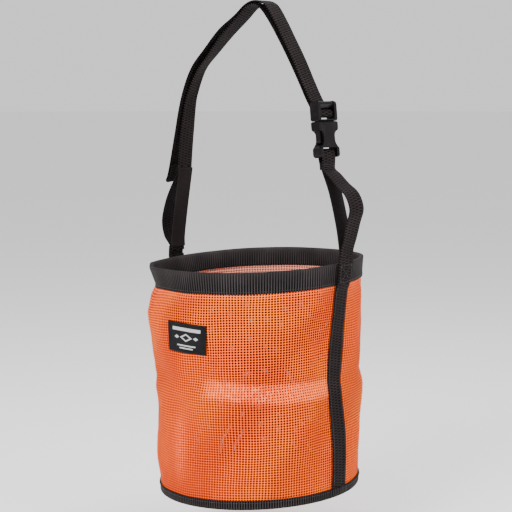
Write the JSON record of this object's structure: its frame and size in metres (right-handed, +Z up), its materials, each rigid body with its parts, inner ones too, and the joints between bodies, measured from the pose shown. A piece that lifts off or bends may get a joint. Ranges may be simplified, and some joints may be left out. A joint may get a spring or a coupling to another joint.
{
  "type": "horse feed bag",
  "caption": "Round mesh feed bag with webbing rim and base binding, hung from an adjustable head strap with elastic inserts and a side-release buckle.",
  "frame": {"origin": "hang point: the underside of the head strap at the top of its crown", "axes": "+Z up; the strap loop lies in the XZ plane with the buckle on the +X side; the label faces -Y"},
  "size_m": [0.2928, 0.256, 0.5837],
  "materials": {
    "orange_mesh": "coated open mesh",
    "base_cloth": "coated cloth",
    "black_binding": "ribbed woven tape",
    "black_webbing": "ribbed woven webbing",
    "black_elastic": "fine flat elastic",
    "woven_label": "damask weave",
    "buckle_plastic": "moulded satin"
  },
  "bodies": {
    "head_strap": {"crown_strap": "black_webbing", "crown_tail": "black_webbing", "near_run": "black_webbing", "near_tail_run": "black_webbing", "near_elastic": "black_elastic", "far_elastic": "black_elastic", "near_slack_webbing": "black_webbing", "far_slack_webbing": "black_webbing", "buckle_female": "buckle_plastic", "female_loop": "black_webbing"},
    "strap_feet": {"near_stub": "black_webbing", "far_stub": "black_webbing"},
    "bag": {"front_mesh_panel": "orange_mesh", "rear_mesh_panel": "orange_mesh", "base_panel": "base_cloth", "rim_binding": "black_binding", "base_binding": "black_binding", "near_side_strap": "black_webbing", "far_side_strap": "black_webbing", "near_lap": "black_webbing", "far_lap": "black_webbing", "woven_label": "woven_label"},
    "buckle_male_half": {"buckle_male": "buckle_plastic", "ladder_wrap": "black_webbing"},
    "front_prong": {"prong_front": "buckle_plastic"},
    "rear_prong": {"prong_rear": "buckle_plastic"},
    "loose_tail": {"strap_tail": "black_webbing", "tail_hem": "black_webbing"}
  },
  "joints": [
    {"name": "elastic_stretch", "type": "slide", "parent": "head_strap", "child": "strap_feet", "axis": [0, 0, -1], "range_m": [0, 0.009], "stiffness_N_per_m": 1600, "springref_m": -0.002, "deforming": ["near_elastic", "far_elastic", "near_slack_webbing", "far_slack_webbing"]},
    {"name": "bag_swing", "type": "hinge", "parent": "strap_feet", "child": "bag", "pos_m": [0, 0, -0.294], "axis": [1, 0, 0], "range_deg": [-60, 60]},
    {"name": "buckle_release", "type": "slide", "parent": "head_strap", "child": "buckle_male_half", "axis": [-0.0958, 0, 0.9954], "range_m": [0, 0.028], "deforming": ["near_run", "near_tail_run"]},
    {"name": "front_prong_squeeze", "type": "hinge", "parent": "buckle_male_half", "child": "front_prong", "pos_m": [0.09824, -0.013, -0.13775], "axis": [0.9954, 0, 0.0958], "range_deg": [0, 9], "stiffness_Nm_per_rad": 0.06},
    {"name": "rear_prong_squeeze", "type": "hinge", "parent": "buckle_male_half", "child": "rear_prong", "pos_m": [0.09824, 0.013, -0.13775], "axis": [0.9954, 0, 0.0958], "range_deg": [-9, 0], "stiffness_Nm_per_rad": 0.06},
    {"name": "tail_swing", "type": "hinge", "parent": "head_strap", "child": "loose_tail", "pos_m": [-0.0528, 0, -0.0277], "axis": [0, 1, 0], "range_deg": [0, 100]}
  ],
  "couplings": [
    {"joint": "rear_prong_squeeze", "follows": "front_prong_squeeze", "ratio": -1}
  ]
}
